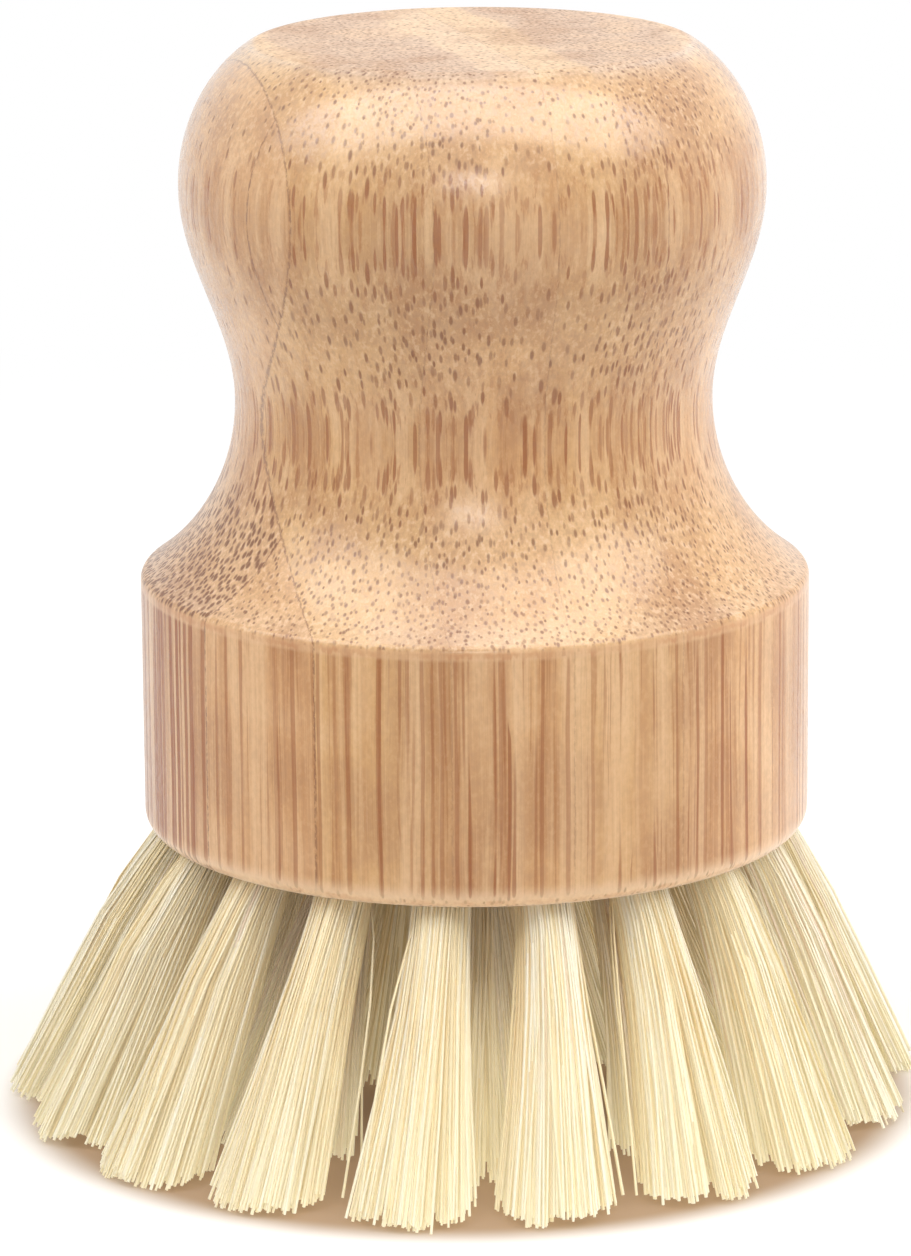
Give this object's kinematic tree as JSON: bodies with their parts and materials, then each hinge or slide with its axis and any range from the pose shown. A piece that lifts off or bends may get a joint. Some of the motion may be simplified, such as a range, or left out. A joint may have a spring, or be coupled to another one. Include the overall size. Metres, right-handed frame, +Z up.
{
  "type": "round dish brush",
  "caption": "Palm-size round scrubbing brush: a turned bamboo knob with a flared base, and stapled tufts of pale plant fibre that fan out below it.",
  "frame": {"origin": "on the surface that the fibre tips stand on, under the middle of the block", "axes": "+Z up along the block's turning axis, from the fibre tips to the flat top of the knob; -Y towards the side that the picture shows"},
  "size_m": [0.0716, 0.0712, 0.0801],
  "materials": {
    "bamboo": "fine sanded and oiled, satin",
    "plant_fibre": "dry natural fibre, matte",
    "staple_wire": "drawn wire"
  },
  "bodies": {
    "root": {"handle_block": "bamboo", "outer_tuft_01": "plant_fibre", "outer_staple_01": "staple_wire", "outer_tuft_02": "plant_fibre", "outer_staple_02": "staple_wire", "outer_tuft_03": "plant_fibre", "outer_staple_03": "staple_wire", "outer_tuft_04": "plant_fibre", "outer_staple_04": "staple_wire", "outer_tuft_05": "plant_fibre", "outer_staple_05": "staple_wire", "outer_tuft_06": "plant_fibre", "outer_staple_06": "staple_wire", "outer_tuft_07": "plant_fibre", "outer_staple_07": "staple_wire", "outer_tuft_08": "plant_fibre", "outer_staple_08": "staple_wire", "outer_tuft_09": "plant_fibre", "outer_staple_09": "staple_wire", "outer_tuft_10": "plant_fibre", "outer_staple_10": "staple_wire", "outer_tuft_11": "plant_fibre", "outer_staple_11": "staple_wire", "outer_tuft_12": "plant_fibre", "outer_staple_12": "staple_wire", "outer_tuft_13": "plant_fibre", "outer_staple_13": "staple_wire", "outer_tuft_14": "plant_fibre", "outer_staple_14": "staple_wire", "outer_tuft_15": "plant_fibre", "outer_staple_15": "staple_wire", "outer_tuft_16": "plant_fibre", "outer_staple_16": "staple_wire", "outer_tuft_17": "plant_fibre", "outer_staple_17": "staple_wire", "outer_tuft_18": "plant_fibre", "outer_staple_18": "staple_wire", "middle_tuft_01": "plant_fibre", "middle_staple_01": "staple_wire", "middle_tuft_02": "plant_fibre", "middle_staple_02": "staple_wire", "middle_tuft_03": "plant_fibre", "middle_staple_03": "staple_wire", "middle_tuft_04": "plant_fibre", "middle_staple_04": "staple_wire", "middle_tuft_05": "plant_fibre", "middle_staple_05": "staple_wire", "middle_tuft_06": "plant_fibre", "middle_staple_06": "staple_wire", "middle_tuft_07": "plant_fibre", "middle_staple_07": "staple_wire", "middle_tuft_08": "plant_fibre", "middle_staple_08": "staple_wire", "inner_tuft_01": "plant_fibre", "inner_staple_01": "staple_wire", "inner_tuft_02": "plant_fibre", "inner_staple_02": "staple_wire", "inner_tuft_03": "plant_fibre", "inner_staple_03": "staple_wire"}
  },
  "joints": []
}
